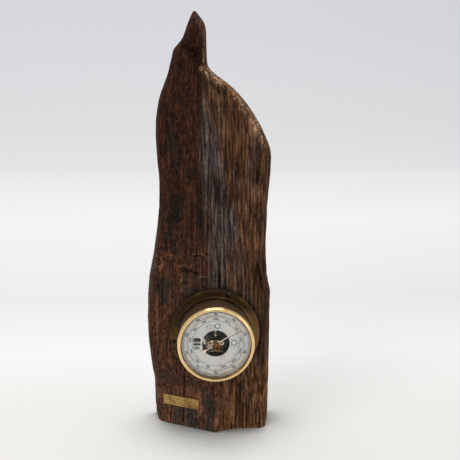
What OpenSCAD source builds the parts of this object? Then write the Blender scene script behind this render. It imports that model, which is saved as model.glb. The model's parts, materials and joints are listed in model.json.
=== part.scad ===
// Aneroid barometer in a brass case, screwed to a tall slab of weathered timber.
// X is to the right, Y runs from the front to the back, Z is up, and the slab stands on Z = 0.
// Depths of the instrument are measured forward from the flat seat that is planed into the slab.
// Each piece takes its depth from the one that it stands on, and its radius from the one inside it.

/* [Slab] */
// Height of the slab
slab_h = 604; // [560:1:640]
// Width of the slab at its widest
slab_w = 178; // [170:1:192]
// How far the back of the slab lies behind the middle of the foot
back_y = 45; // [40:1:60]
// Planed seat, in front of the middle of the foot
seat_y = 40; // [36:0.5:44]
// How far the ridge stands out in front of the seat
ridge_out = 3; // [1:0.5:8]
// How far the left face is turned back at the foot, in degrees
foot_turn = 31; // [15:1:33]
// Depth of the worn grooves along the grain of the right face
groove_d = 1.6; // [0:0.1:2.5]
// Depth of the rotted hollow in the slab's beak
hollow_d = 13; // [4:0.5:18]
// Height of the instrument's axis above the foot
axis_z = 152; // [145:1:200]
// Gap round the flange in the planed seat
seat_gap = 1.3; // [1:0.1:4]
// Radius of the hole through the slab for the adjusting screw
access_r = 6; // [5:0.1:8]

/* [Plaque] */
// Length of the brass plaque
plaque_l = 60; // [50:0.5:64]
// Height of the brass plaque
plaque_h = 15.5; // [12:0.5:18]
// Thickness of the brass plaque
plaque_t = 0.8; // [0.6:0.1:1.5]
// How deep the plaque is let into the slab
plaque_sink = 0.3; // [0.1:0.1:0.5]
// Gap from the slab's left edge to the plaque
plaque_in = 12.5; // [8:0.5:16]
// Height of the plaque's middle above the foot
plaque_z = 36; // [30:0.5:44]

/* [Case] */
// Space between the base plate's edge and the outside of the drum
drum_margin = 9; // [8.2:0.1:12]
// Wall of the drum and of its floor
drum_wall = 1.2; // [0.8:0.1:1.5]
// How far the drum's floor is set in from the seat
floor_z = 4; // [3:0.1:4.5]
// Radius of the hole in the floor for a screwdriver
floor_hole_r = 4.5; // [4:0.1:5.5]
// Wall of the flange's collar
collar_wall = 1.3; // [1:0.1:2]
// Height of the collar above the seat
collar_h = 12; // [8:0.5:25]
// Radius of the hollow corner between flange and collar
collar_fillet = 2.5; // [1:0.1:4]
// Thickness of the flange
flange_t = 3; // [2.2:0.1:4]
// Radius on the flange's front edge
flange_round = 2; // [0.5:0.1:2.1]
// Width of the flange outside the circle of its screws
flange_margin = 4.3; // [4:0.1:8]

/* [Flange screws] */
// Radius of the flange screws' heads
screw_head_r = 3.9; // [3.4:0.1:4.4]
// Height of the flange screws' heads
screw_head_h = 2.8; // [2:0.1:3.4]
// Gap between the screws' heads and the collar's hollow corner
screw_gap = 1.5; // [0.5:0.1:4]
// Radius of the flange screws' shanks
screw_r = 1.8; // [1.5:0.05:2.2]
// Length of the flange screws under the head
screw_len = 25; // [18:0.5:40]
// Where the first flange screw stands, in degrees clockwise from the top
screw_turn = 19; // [0:1:60]

/* [Bezel and glass] */
// How far the bezel stands out beyond the drum
bezel_over = 2.6; // [2.2:0.1:5]
// How far the sight opening lies inside the drum's outer face
sight_in = 3.3; // [2.8:0.1:6]
// Height of the rolled lip in front of the glass
bezel_lip = 4; // [3:0.1:6]
// How much the sight opening widens towards the front
sight_flare = 2.6; // [1:0.1:3]
// Length of the bezel's skirt over the drum
skirt_h = 6; // [4:0.1:12]
// Wall of the bezel's skirt
skirt_wall = 1.4; // [1:0.1:1.6]
// Distance from the dial to the back of the glass
glass_gap = 5; // [4.5:0.1:9]
// Thickness of the glass
glass_t = 2; // [1.5:0.1:3]
// Width of the rings that hold the dial and the glass
ring_w = 1.5; // [1:0.1:1.8]
// Thickness of the split ring behind the glass
ring_t = 1.4; // [1:0.1:2]
// Gap in the split ring
ring_gap = 11; // [4:0.5:20]

/* [Dial] */
// Gap between the rocking shaft's posts and the dial
dial_gap = 1.4; // [1.2:0.1:4]
// Thickness of the dial
dial_t = 0.8; // [0.6:0.1:1.2]
// Radius of the hole that shows the movement
dial_hole_r = 19.2; // [16:0.1:21]

/* [Movement] */
// Length of the bushes between the drum's floor and the base plate
bush_h = 4; // [3.5:0.1:6]
// Thickness of the base plate
base_t = 2; // [1.5:0.1:3]
// Radius of the aneroid capsule
capsule_r = 24; // [20:0.1:26]
// Height of the capsule
capsule_h = 7; // [6:0.1:8]
// Gap between the mainspring's foot and the capsule
capsule_gap = 0.8; // [0.6:0.1:1.5]
// Thickness of the mainspring strip
spring_t = 1.6; // [1.2:0.1:1.8]
// Width of the mainspring strip
spring_w = 14; // [10:0.1:16]
// Height of the mainspring over its outer faces
spring_h = 15.4; // [14.4:0.1:18]
// Distance from the capsule's rim to the middle of the mainspring's bend
bend_gap = 7; // [5:0.1:8]
// Radius of the pillars and of the dial's feet
pillar_r = 2; // [1.5:0.1:2.4]
// Gap between the capsule's rim and the pillars
pillar_gap = 2.5; // [1.5:0.1:4]
// Gap between the upper plate's edge and the dial's feet
feet_gap = 3.5; // [1:0.1:5]
// Metal of a plate outside the pillars that stand in it
plate_edge = 1.5; // [1:0.1:3]
// Gap between the mainspring's arm and the upper plate
plate_gap = 6.4; // [5:0.1:12]
// Thickness of the upper plate
plate_t = 1.6; // [1.2:0.1:2.4]
// Gap between the upper plate and the lever
lever_gap = 4.4; // [3.5:0.1:4.8]
// Width of the channel-shaped lever
lever_w = 5.6; // [4.5:0.1:6.2]
// Height of the lever's sides
lever_h = 2.2; // [1.5:0.1:2.4]
// Wall of the lever
lever_t = 0.8; // [0.6:0.1:1]
// Gap between the upper plate and the chain
chain_gap = 2.2; // [2:0.1:3]
// Length of the arm that pulls the chain
pull_arm = 7.5; // [7:0.1:8.4]
// Length of the crank that the lever moves
crank_arm = 2.4; // [2.2:0.1:2.8]
// Radius of the rocking shaft
shaft_r = 0.8; // [0.7:0.05:1]
// Gap between the lever and the bridge
bridge_gap = 1.4; // [1.2:0.1:2]
// Length of the bridge
bridge_l = 22; // [20:0.1:26]
// Thickness of the bridge
bridge_t = 2; // [1.5:0.1:2.2]
// Radius of the hand arbor
arbor_r = 0.75; // [0.6:0.01:0.85]
// Wall of the chain's drum on the arbor
chain_drum_wall = 0.15; // [0.1:0.01:0.3]
// Radial play of every shaft in its bore
running_fit = 0.05; // [0.02:0.01:0.08]

/* [Hands and knob] */
// Where the pressure hand points, in degrees clockwise from the top
pressure_angle = 63; // [-130:1:130]
// Where the set hand points, in degrees clockwise from the top
set_angle = 58; // [-130:1:130]
// Length of the hands from the axis to the tip
hand_r = 40; // [34:0.1:45]
// Length of the hands' tails
tail_r = 22; // [18:0.1:25]
// Thickness of the hands
hand_t = 0.4; // [0.3:0.05:0.6]
// Gap between the dial and the pressure hand
hand_gap = 1.4; // [1.2:0.1:2]
// Distance from the pressure hand to the set hand
set_gap = 1.9; // [1.7:0.1:2.2]
// Radius of the stem that turns the set hand
stem_r = 1.6; // [1.2:0.05:2]
// Thickness of the washer under the knob
washer_t = 0.6; // [0.4:0.1:1]
// Radius of the knob
knob_r = 5.75; // [5:0.05:7]
// How far the knob stands out in front of the glass
knob_h = 14; // [12:0.1:18]

/* [Hidden] */
$fn = 96;

// Far enough to cut right through any piece.
THROUGH = 200;

// Radii, from the capsule outwards.
pillar_circle = capsule_r + pillar_gap + pillar_r;
plate_r = pillar_circle + pillar_r + plate_edge;
feet_circle = plate_r + feet_gap + pillar_r;
base_r = feet_circle + pillar_r + plate_edge + 1;
drum_r = base_r + drum_margin;
collar_r = drum_r + collar_wall;
screw_circle = collar_r + collar_fillet + screw_gap + screw_head_r;
flange_r = screw_circle + flange_margin;
bezel_r = drum_r + bezel_over;
sight_r = drum_r - sight_in;
glass_r = drum_r - drum_wall - 0.2;

// Depths, from the drum's floor forwards.
base_z = floor_z + drum_wall + bush_h;
spring_z = base_z + base_t;
arm_top = spring_z + spring_h;
plate_z = arm_top + plate_gap;
plate_top = plate_z + plate_t;
lever_z = plate_top + lever_gap;
chain_z = plate_top + chain_gap;
shaft_z = chain_z + pull_arm;
POST_OVER = 1.5;
dial_front = shaft_z + POST_OVER + dial_gap + dial_t;
glass_back = dial_front + glass_gap;
glass_front = glass_back + glass_t;
drum_h = glass_back - 1;
bezel_front = glass_front + bezel_lip;
pressure_z = dial_front + hand_gap;
set_z = pressure_z + set_gap;

// The slab's outline seen from the front: height, then distance from the axis.
DRAWN_H = 604;
DRAWN_W = 178;
LEFT_EDGE = [[0, -82], [9, -86], [60, -87], [100, -90], [140, -94.5], [180, -95.5], [215, -92.5],
    [250, -85.5], [290, -80], [325, -76.5], [365, -76.5], [400, -79.5], [425, -80.5], [450, -80],
    [482, -75], [515, -62.5], [549, -54.5], [564, -41.5], [573, -38.5], [598, -29.5], [604, -26]];
RIGHT_EDGE = [[0, 75], [8, 78], [190, 81], [212, 80], [240, 75.5], [265, 74.3], [330, 76.5],
    [370, 80.5], [408, 83], [424, 76], [440, 69], [460, 57], [481, 42.5], [493, 32], [504, 18],
    [514, 4], [523, -5], [532, -7.5], [576, -8.5], [587, -11.5], [596, -17.5], [604, -23]];
RIDGE_X = [[0, 1], [30, 8], [64, 14], [110, 10], [235, -9.6], [290, -12], [390, -20], [480, -18],
    [511, -14.5], [530, -13.3], [555, -13.3], [575, -15.5], [604, -24.5]];
// How far the ridge and the back retreat towards the top.
RIDGE_BACK = [[0, 0], [240, 0], [400, 6], [480, 12], [540, 19], [580, 26], [604, 38]];
BACK_IN = [[0, 0], [260, 0], [400, 14], [450, 24], [500, 34], [540, 38], [604, 39]];
// How far the left face is turned back, as a part of its turn at the foot.
LEFT_TURN = [[0, 1], [45, 0.98], [62, 0.82], [76, 0.5], [90, 0.24], [104, 0.15], [130, 0.09],
    [215, 0.12], [300, 0.34], [450, 0.5], [520, 0.5], [604, 0.2]];
// How far the right edge lies behind the ridge.
RIGHT_DROP = [[0, 15], [40, 13], [85, 4], [110, 2.2], [220, 2.2], [300, 7], [400, 13], [500, 12],
    [604, 3]];
// The rotted hollow in the beak: its middle, its reach across and along the grain, and its lean.
HOLLOW = [-25, 545];
HOLLOW_SIZE = [8, 13];
HOLLOW_LEAN = 0.78;
CORNER = 9;
LEFT_N = 8;
RIGHT_N = 13;
SIDE_N = 3;
// The sections stand closer together in the beak.
BEAK_Z = 500;
BODY_RINGS = 40;
BEAK_RINGS = 17;

function rings() = [for (i = [0:BODY_RINGS + BEAK_RINGS]) slab_h / DRAWN_H * (i < BODY_RINGS
    ? BEAK_Z * i / BODY_RINGS : BEAK_Z + (DRAWN_H - BEAK_Z) * (i - BODY_RINGS) / BEAK_RINGS)];
function drawn(z) = z * DRAWN_H / slab_h;
function wide(x) = x * slab_w / DRAWN_W;
function left_x(z) = wide(lookup(drawn(z), LEFT_EDGE));
function right_x(z) = wide(lookup(drawn(z), RIGHT_EDGE));
function ridge_x(z) = wide(lookup(drawn(z), RIDGE_X));
function front_y(z) = -seat_y - ridge_out + lookup(drawn(z), RIDGE_BACK);
function rear_y(z) = back_y - lookup(drawn(z), BACK_IN);
function hollow(x, z) = let(rise = drawn(z) - HOLLOW[1])
    hollow_d * exp(-pow((x - wide(HOLLOW[0] - rise * HOLLOW_LEAN)) / HOLLOW_SIZE[0], 2)
        - pow(rise / HOLLOW_SIZE[1], 2));
// The left face is flat across the grain; the right one is hollow next to the ridge and grooved.
function left_y(x, z) = front_y(z) + tan(foot_turn * lookup(drawn(z), LEFT_TURN)) * (ridge_x(z) - x);
function right_y(t, z) = front_y(z) + lookup(drawn(z), RIGHT_DROP) * (1 - pow(1 - t, 3));
function groove(i, z) = groove_d * (i % 2) * (0.75 + 0.25 * sin(z * 1.7 + i * 70));

function ring_points(z) =
    let(xl = left_x(z), xr = right_x(z), xm = ridge_x(z), yb = rear_y(z))
    let(yl = left_y(xl, z), yr = right_y(1, z))
    let(c = min(CORNER, (xr - xl) / 5, (yb - max(yl, yr)) / 4))
    concat(
        [[xm, yb, z]],
        [for (i = [0:SIDE_N]) [xl, yb + (yl + c - yb) * i / SIDE_N, z]],
        [for (i = [0:LEFT_N - 1]) let(x = xl + c * 0.5 + (xm - xl - c * 0.5) * i / LEFT_N)
            [x, left_y(x, z) + hollow(x, z) + (i == 0 ? c * 0.2 : 0), z]],
        [for (i = [0:RIGHT_N]) let(t = i / RIGHT_N)
            [xm + (xr - xm - c * 0.6) * t, right_y(t, z) + groove(i, z) * min(1, (xr - xm) / 70), z]],
        [for (i = [0:SIDE_N]) [xr, yr + c + (yb - yr - c) * i / SIDE_N, z]]
    );

// Each section starts at the middle of its back, from where every other point can be seen.
module loft(sections) {
    m = len(sections[0]);
    last = (len(sections) - 1) * m;
    polyhedron(
        points = [for (s = sections) each s],
        faces = concat(
            [[for (j = [0:m - 1]) j]],
            [for (i = [0:m:last - m], j = [0:m - 1]) let(k = (j + 1) % m)
                each [[i + j, i + m + j, i + m + k], [i + j, i + m + k, i + k]]],
            [[last, for (j = [m - 1:-1:1]) last + j]]
        )
    );
}

// Puts a child, modelled with its depth along Z, on the instrument's axis in front of the seat.
module on_seat() {
    translate([0, -seat_y, axis_z]) rotate([90, 0, 0]) children();
}
// Turns a child clockwise from the top of the dial.
module clockwise(a) {
    rotate([0, 0, -a]) children();
}
// Repeats a child clockwise round the axis, at a radius.
module round_axis(turns, r) {
    for (a = turns) clockwise(a) translate([0, r, 0]) children();
}
module ring(r_out, r_in, h, z = 0) {
    translate([0, 0, z]) linear_extrude(h) difference() {
        circle(r = r_out);
        circle(r = r_in);
    }
}
module disc(r, h, z = 0) {
    translate([0, 0, z]) cylinder(r = r, h = h);
}

plaque_turn = foot_turn * lookup(drawn(plaque_z), LEFT_TURN);
plaque_x = left_x(plaque_z) + plaque_in + plaque_l / 2 * cos(plaque_turn);

module plaque_block(t) {
    translate([plaque_x, left_y(plaque_x, plaque_z), plaque_z]) rotate([90, 0, -plaque_turn])
        translate([-plaque_l / 2, -plaque_h / 2, -plaque_sink]) cube([plaque_l, plaque_h, t]);
}

screw_turns = [screw_turn:120:screw_turn + 240];
adjust_x = -capsule_r - bend_gap;

module board() {
    color("#3b2a20") difference() {
        loft([for (z = rings()) ring_points(z)]);
        on_seat() {
            cylinder(r = flange_r + seat_gap, h = THROUGH);
            round_axis(screw_turns, screw_circle)
                translate([0, 0, flange_t - screw_len]) cylinder(r = screw_r, h = THROUGH);
            translate([adjust_x, 0, -THROUGH]) cylinder(r = access_r, h = THROUGH * 2);
        }
        plaque_block(THROUGH);
    }
}

module plaque() {
    color("#b9914f") plaque_block(plaque_t);
}

// A flat ring with a turned collar, soldered round the drum.
module flange() {
    color("#5a4122") on_seat() difference() {
        rotate_extrude() {
            difference() {
                union() {
                    translate([drum_r, 0]) square([flange_r - drum_r, flange_t]);
                    translate([drum_r, 0]) square([collar_wall, collar_h]);
                    translate([drum_r, 0]) square([collar_wall + collar_fillet, flange_t + collar_fillet]);
                }
                translate([collar_r + collar_fillet, flange_t + collar_fillet]) circle(r = collar_fillet);
                translate([flange_r - flange_round, flange_t - flange_round]) difference() {
                    square(flange_round + 1);
                    circle(r = flange_round);
                }
            }
        }
        round_axis(screw_turns, screw_circle)
            cylinder(r = screw_r + running_fit, h = flange_t * 4, center = true);
    }
}

module case_drum() {
    color("#4a3620") on_seat() difference() {
        disc(drum_r, drum_h);
        disc(drum_r - drum_wall, drum_h, floor_z + drum_wall);
        disc(drum_r - drum_wall, floor_z * 2, -floor_z);
        translate([adjust_x, 0, 0]) cylinder(r = floor_hole_r, h = floor_z + drum_wall * 2);
        round_axis(MOUNT_TURNS, mount_circle) cylinder(r = MOUNT_SCREW_R, h = drum_h / 2);
    }
}

DOME = 1.15;
SLOT_DEPTH = 0.4;

// A slotted round-head screw that stands on the plane z = 0 and points down.
module round_screw(head_r, head_h, shank_r, len, slot) {
    difference() {
        union() {
            rotate_extrude() intersection() {
                translate([0, head_h - head_r * DOME]) circle(r = head_r * DOME);
                square([head_r, head_h]);
            }
            translate([0, 0, -len]) cylinder(r = shank_r, h = len + head_h / 4);
        }
        translate([-head_r, -slot / 2, head_h * (1 - SLOT_DEPTH)]) cube([head_r * 2, slot, head_h]);
    }
}

module flange_screws() {
    color("#2a2018") on_seat() round_axis(screw_turns, screw_circle) translate([0, 0, flange_t])
        rotate([0, 0, 35]) round_screw(screw_head_r, screw_head_h, screw_r, screw_len, 0.8);
}

// A spun ring that is pushed over the drum: rolled lip, flared sight opening, bead and skirt.
module bezel() {
    skirt_r = drum_r + skirt_wall;
    bead_r = bezel_r - skirt_r;
    step = 0.8;
    color("#d9ab5e") on_seat() rotate_extrude() difference() {
        union() {
            translate([sight_r, glass_front]) square([bezel_r - bezel_lip - sight_r, bezel_lip]);
            translate([sight_r, drum_h]) square([bezel_r - sight_r, glass_front - drum_h]);
            translate([bezel_r - bezel_lip, glass_front]) intersection() {
                circle(r = bezel_lip);
                square(bezel_lip);
            }
            translate([drum_r, drum_h - skirt_h]) square([skirt_wall, skirt_h + 1]);
            translate([skirt_r, drum_h]) circle(r = bead_r);
        }
        polygon([[sight_r - 1, bezel_front + 1], [sight_r - 1, glass_front + step],
            [sight_r, glass_front + step], [sight_r + sight_flare, bezel_front],
            [sight_r + sight_flare, bezel_front + 1]]);
        translate([0, drum_h - THROUGH]) square([drum_r, THROUGH]);
        translate([0, drum_h - 1]) square([glass_r + 0.2, glass_front - drum_h + 1]);
    }
}

module glass() {
    color("#dfe8ea55") on_seat() ring(glass_r, stem_r + running_fit, glass_t, glass_back);
}

// The split ring's gap is at the bottom, a little to the left.
module glass_ring() {
    color("#c79a52") on_seat() difference() {
        ring(glass_r, glass_r - ring_w, ring_t, glass_back - ring_t);
        translate([-ring_gap * 0.95, -drum_r, 0]) cube([ring_gap, drum_r / 2, bezel_front]);
    }
}

module dial_ring() {
    color("#8a6a3a") on_seat()
        ring(glass_r, glass_r - ring_w, glass_back - ring_t - dial_front, dial_front);
}

module dial() {
    color("#b9b5ab") on_seat() ring(glass_r, dial_hole_r, dial_t, dial_front - dial_t);
}

FEET_TURNS = [60, 180, 300];
MOUNT_TURNS = [0, 120, 240];
MOUNT_SCREW_R = 1.5;
BUSH_WALL = 1.7;
mount_circle = feet_circle - 1.5;

module dial_feet() {
    color("#b8904e") on_seat() round_axis(FEET_TURNS, feet_circle)
        disc(pillar_r, dial_front - dial_t - spring_z, spring_z);
}

module movement_bushes() {
    color("#7a7670") on_seat() round_axis(MOUNT_TURNS, mount_circle)
        ring(MOUNT_SCREW_R + BUSH_WALL, MOUNT_SCREW_R, bush_h, base_z - bush_h);
}

// The screws come from behind, through the drum's floor and the bushes into the base plate.
module movement_screws() {
    color("#8a8680") on_seat() round_axis(MOUNT_TURNS, mount_circle)
        translate([0, 0, floor_z]) mirror([0, 0, 1])
            round_screw(2.6, 1.8, MOUNT_SCREW_R, spring_z - floor_z, 0.6);
}

ADJUST_R = 2;
STUD_R = 3;

module base_plate() {
    color("#3a3b3d") on_seat() difference() {
        disc(base_r, base_t, base_z);
        round_axis(MOUNT_TURNS, mount_circle) cylinder(r = MOUNT_SCREW_R, h = THROUGH);
        translate([adjust_x, 0, 0]) cylinder(r = ADJUST_R + running_fit, h = THROUGH);
        cylinder(r = STUD_R, h = THROUGH);
    }
}

// The screw bears on the mainspring's foot through the base plate.
module adjusting_screw() {
    back = floor_z + 0.2;
    color("#b08a4a") on_seat() translate([adjust_x, 0, back]) difference() {
        cylinder(r = ADJUST_R, h = spring_z - 0.1 - back);
        translate([-ADJUST_R - 1, -0.4, -1]) cube([ADJUST_R * 2 + 2, 0.8, 2]);
    }
}

module plate_pillars() {
    color("#b8904e") on_seat() round_axis([45:90:315], pillar_circle)
        disc(pillar_r, plate_z - spring_z, spring_z);
}

PIVOT_R = 0.5;

// The plate is cut away on the left, where the lever's bracket passes it.
module top_plate() {
    notch_x = bracket_x + 8;
    notch_low = spring_w / 2 + 2;
    color("#3d3e40") on_seat() translate([0, 0, plate_z]) difference() {
        cylinder(r = plate_r, h = plate_t);
        translate([notch_x - THROUGH, -notch_low, -1])
            cube([THROUGH, notch_low + LEVER_MID[1] + 1, plate_t + 2]);
        translate([0, 0, -1]) cylinder(r = PIVOT_R + running_fit, h = plate_t + 2);
    }
}

POST_R = 2;
PIN_R = 0.8;
capsule_z = spring_z + spring_t + capsule_gap;

// Two corrugated skins soldered at the rim, on a stud, with a post on top.
module capsule() {
    rise = 0.5;
    mid = capsule_z + capsule_h / 2;
    waves = 4;
    hub = POST_R + 3;
    rim = 2;
    skin = [for (i = [0:waves * 4]) [hub + (capsule_r - rim - hub) * i / (waves * 4),
        capsule_h / 2 - rise + rise * cos(i * 90)]];
    color("#b79a5b") on_seat() difference() {
        union() {
            rotate_extrude() for (s = [-1, 1])
                translate([0, mid]) scale([1, s])
                    polygon(concat([[0, 0], [0, capsule_h / 2]], skin, [[capsule_r, 0.8], [capsule_r, 0]]));
            disc(STUD_R, mid - base_z, base_z);
            disc(POST_R, arm_top + PIN_R * 2 + 1.2 - mid, mid);
        }
        translate([0, 0, arm_top + PIN_R]) rotate([90, 0, 0])
            cylinder(r = PIN_R, h = POST_R * 4, center = true);
    }
}

ARM_END = 14;
FOOT_END = 7;

// A C-shaped strip: its foot is clamped under the capsule, its free arm hangs on the post's pin.
module mainspring() {
    r = spring_h / 2;
    color("#8d8f92") on_seat() difference() {
        translate([adjust_x, spring_w / 2, spring_z + r]) rotate([90, 0, 0]) linear_extrude(spring_w)
            difference() {
                union() {
                    circle(r = r);
                    translate([0, r - spring_t]) square([ARM_END - adjust_x, spring_t]);
                    translate([0, -r]) square([FOOT_END - adjust_x, spring_t]);
                }
                circle(r = r - spring_t);
                translate([0, spring_t - r]) square([THROUGH, spring_h - spring_t * 2]);
            }
        disc(STUD_R, spring_z + r);
        disc(POST_R + 1.2, spring_h, spring_z + r);
    }
}

module post_pin() {
    color("#9a9c9f") on_seat() translate([0, 0, arm_top + PIN_R]) rotate([90, 0, 0])
        cylinder(r = PIN_R, h = POST_R * 2 + 5, center = true);
}

SHAFT_Y = -12.6;
LINK_X = -5.6;
LINK_R = 0.5;
BRIDGE_FOOT = [8, -0.6];
BRIDGE_FOOT_R = 1.8;
// The lever's arc is struck round this point, and clears the bridge's left foot.
LEVER_MID = [3, 13];
LEVER_ARC = 73;
lever_r = norm([LEVER_MID[0] + BRIDGE_FOOT[0], LEVER_MID[1] - BRIDGE_FOOT[1]])
    + BRIDGE_FOOT_R + 0.9 + lever_w / 2;
bracket_x = adjust_x + 2;
BRACKET_W = 4;
BRACKET_T = 1.2;

// A channel-shaped strip, bent to an arc, on a bracket that is riveted to the mainspring's arm.
module lever() {
    reach = LEVER_MID[0] - lever_r + lever_w / 2;
    color("#c9c3b6") on_seat() {
        translate([LEVER_MID[0], LEVER_MID[1], lever_z]) rotate([0, 0, 180])
            rotate_extrude(angle = LEVER_ARC) translate([lever_r - lever_w / 2, 0]) difference() {
                square([lever_w, lever_h]);
                translate([lever_t, lever_t]) square([lever_w - lever_t * 2, lever_h]);
            }
        translate([bracket_x, LEVER_MID[1] - BRACKET_W, 0]) {
            translate([0, 0, lever_z]) cube([reach - bracket_x, BRACKET_W, lever_t]);
            translate([0, 0, arm_top]) cube([BRACKET_T, BRACKET_W, lever_z + lever_t - arm_top]);
        }
        translate([bracket_x, -5, arm_top]) cube([5, LEVER_MID[1] + 5, BRACKET_T]);
        translate([LINK_X, SHAFT_Y + crank_arm, lever_z])
            cylinder(r = LINK_R, h = shaft_z - lever_z - LINK_R - 0.9, $fn = 24);
    }
}

SHAFT_HALF = 8.7;
ARM_TILT = 7;
pivot_r = shaft_r * 0.6;
chain_drum_r = arbor_r + chain_drum_wall;

module rocking_shaft() {
    color("#8f9194") on_seat() translate([0, SHAFT_Y, shaft_z]) {
        rotate([0, 90, 0]) {
            cylinder(r = shaft_r, h = SHAFT_HALF * 2, center = true);
            cylinder(r = pivot_r, h = SHAFT_HALF * 2 + 3, center = true);
        }
        translate([chain_drum_r, 0, 0]) rotate([180 - ARM_TILT, 0, 0]) cylinder(r = LINK_R, h = pull_arm);
        translate([LINK_X, 0, 0]) rotate([-90, 0, 0]) cylinder(r = LINK_R, h = crank_arm + 0.6);
    }
}

// Two posts on the upper plate, each bored for one of the shaft's pivots.
module shaft_posts() {
    wide = 1.6;
    deep = 3.2;
    color("#b8904e") on_seat() for (s = [-1, 1])
        translate([s * (SHAFT_HALF + 0.1 + wide / 2), SHAFT_Y, plate_top]) difference() {
            translate([-wide / 2, -deep / 2, 0]) cube([wide, deep, shaft_z - plate_top + POST_OVER]);
            translate([0, 0, shaft_z - plate_top]) rotate([0, 90, 0])
                cylinder(r = pivot_r + running_fit, h = wide * 2, center = true);
        }
}

HAIR_Z = lever_z + 1.2;
COLLET_R = 1.5;
COLLET_H = 1.4;
ARBOR_PIVOT = 0.4;

module arbor() {
    color("#a9a69c") on_seat() {
        disc(PIVOT_R, plate_t + 1, plate_z);
        disc(arbor_r, set_z - 0.7 - plate_top - ARBOR_PIVOT, plate_top + ARBOR_PIVOT);
        disc(chain_drum_r, 3, chain_z - 1.5);
        disc(chain_drum_r + 1, 0.4, chain_z - 1.7);
        disc(chain_drum_r + 1, 0.4, chain_z + 1.3);
        disc(COLLET_R, COLLET_H, HAIR_Z);
    }
}

CHAIN_R = 0.25;

// The chain runs from the drum's right side to the end of the pull arm.
module chain() {
    reach = pull_arm * sin(ARM_TILT) - SHAFT_Y - LINK_R - 0.1;
    color("#c2a060") on_seat() translate([chain_drum_r + CHAIN_R + 0.05, 0, chain_z])
        rotate([90, 0, 0]) cylinder(r = CHAIN_R, h = reach, $fn = 16);
}

HAIR_OUT = 5.2;
HAIR_T = 0.24;
HAIR_H = 0.8;
STUD_Y = 10;
STUD_POST_R = 1.2;

module hairspring() {
    turns = 3;
    steps = 16;
    n = turns * steps;
    start = COLLET_R + 0.3;
    function along(i, side) = (start + (HAIR_OUT - start) * i / n + side * HAIR_T / 2)
        * [-sin(i * 360 / steps), cos(i * 360 / steps)];
    color("#55585c") on_seat() translate([0, 0, HAIR_Z + 0.2]) {
        linear_extrude(HAIR_H) polygon(concat(
            [for (i = [0:n]) along(i, 1)], [for (i = [n:-1:0]) along(i, -1)]));
        translate([-HAIR_T / 2, HAIR_OUT, 0]) cube([HAIR_T, STUD_Y - HAIR_OUT - STUD_POST_R, HAIR_H]);
    }
}

// A post with a clamping screw, on a foot strip that runs out to the edge of the dial's hole.
module hairspring_stud() {
    post_h = HAIR_Z + HAIR_H + 0.6 - plate_top;
    foot_w = 2.4;
    color("#b8904e") on_seat() translate([0, STUD_Y, plate_top]) {
        translate([-foot_w / 2, 0, 0]) cube([foot_w, 11, 1]);
        cylinder(r = STUD_POST_R, h = post_h);
        translate([0, 0, post_h]) round_screw(2, 1.2, 0.8, 1, 0.5);
    }
}

BRIDGE_ARCH = 18;
BRIDGE_RISE = 4;
BRIDGE_DROP = 3.6;
bridge_z = lever_z + lever_h + bridge_gap;

// A bar with an arched top edge on two feet; it carries the front bearing of the hand arbor.
module arbor_bridge() {
    color("#c79a52") on_seat() difference() {
        union() {
            translate([0, 0, bridge_z]) linear_extrude(bridge_t) intersection() {
                translate([0, BRIDGE_RISE - BRIDGE_ARCH]) circle(r = BRIDGE_ARCH);
                translate([-bridge_l / 2, -BRIDGE_DROP]) square([bridge_l, BRIDGE_RISE * 2 + BRIDGE_DROP]);
            }
            for (s = [-1, 1])
                translate([s * BRIDGE_FOOT[0], BRIDGE_FOOT[1], 0])
                    disc(BRIDGE_FOOT_R, bridge_z - plate_top + 0.5, plate_top);
        }
        disc(arbor_r + running_fit, bridge_t + 2, bridge_z - 1);
        for (s = [-1, 1])
            translate([s * BRIDGE_FOOT[0], BRIDGE_FOOT[1], 0]) disc(0.8, THROUGH, bridge_z - 4);
    }
}

module bridge_screws() {
    color("#9a7a44") on_seat() for (s = [-1, 1])
        translate([s * BRIDGE_FOOT[0], BRIDGE_FOOT[1], bridge_z + bridge_t]) rotate([0, 0, 40 * s])
            round_screw(1.7, 1, 0.8, bridge_t + 3.5, 0.4);
}

// A tapered blade with a spade-shaped tail, drawn pointing up.
module hand(w, tip_w, neck, spade) {
    linear_extrude(hand_t) {
        polygon([[-tip_w / 2, hand_r], [-w / 2, 0], [w / 2, 0], [tip_w / 2, hand_r]]);
        polygon(concat([[-w / 2, 0], [w / 2, 0], [w / 2, -tail_r + neck]], spade,
            [[-w / 2, -tail_r + neck]]));
    }
}

module pressure_hand() {
    collet_back = pressure_z - 0.4;
    color("#3b3d42") on_seat() clockwise(pressure_angle) difference() {
        union() {
            translate([0, 0, pressure_z])
                hand(1.2, 0.5, 7, [[2.6, -tail_r], [0, -tail_r + 2], [-2.6, -tail_r]]);
            disc(1.6, set_z - 0.7 - collet_back, collet_back);
        }
        disc(arbor_r, THROUGH, collet_back - 1);
    }
}

module set_hand() {
    color("#d8a860") on_seat() clockwise(set_angle) difference() {
        translate([0, 0, set_z]) {
            hand(1.3, 0.5, 6, [[2.4, -tail_r + 3], [0, -tail_r], [-2.4, -tail_r + 3]]);
            disc(stem_r + 1, hand_t + 0.5);
        }
        disc(stem_r, THROUGH, set_z - 1);
    }
}

module knob_washer() {
    color("#2b2622") on_seat() ring(stem_r + 2, stem_r + running_fit, washer_t, glass_front);
}

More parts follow.
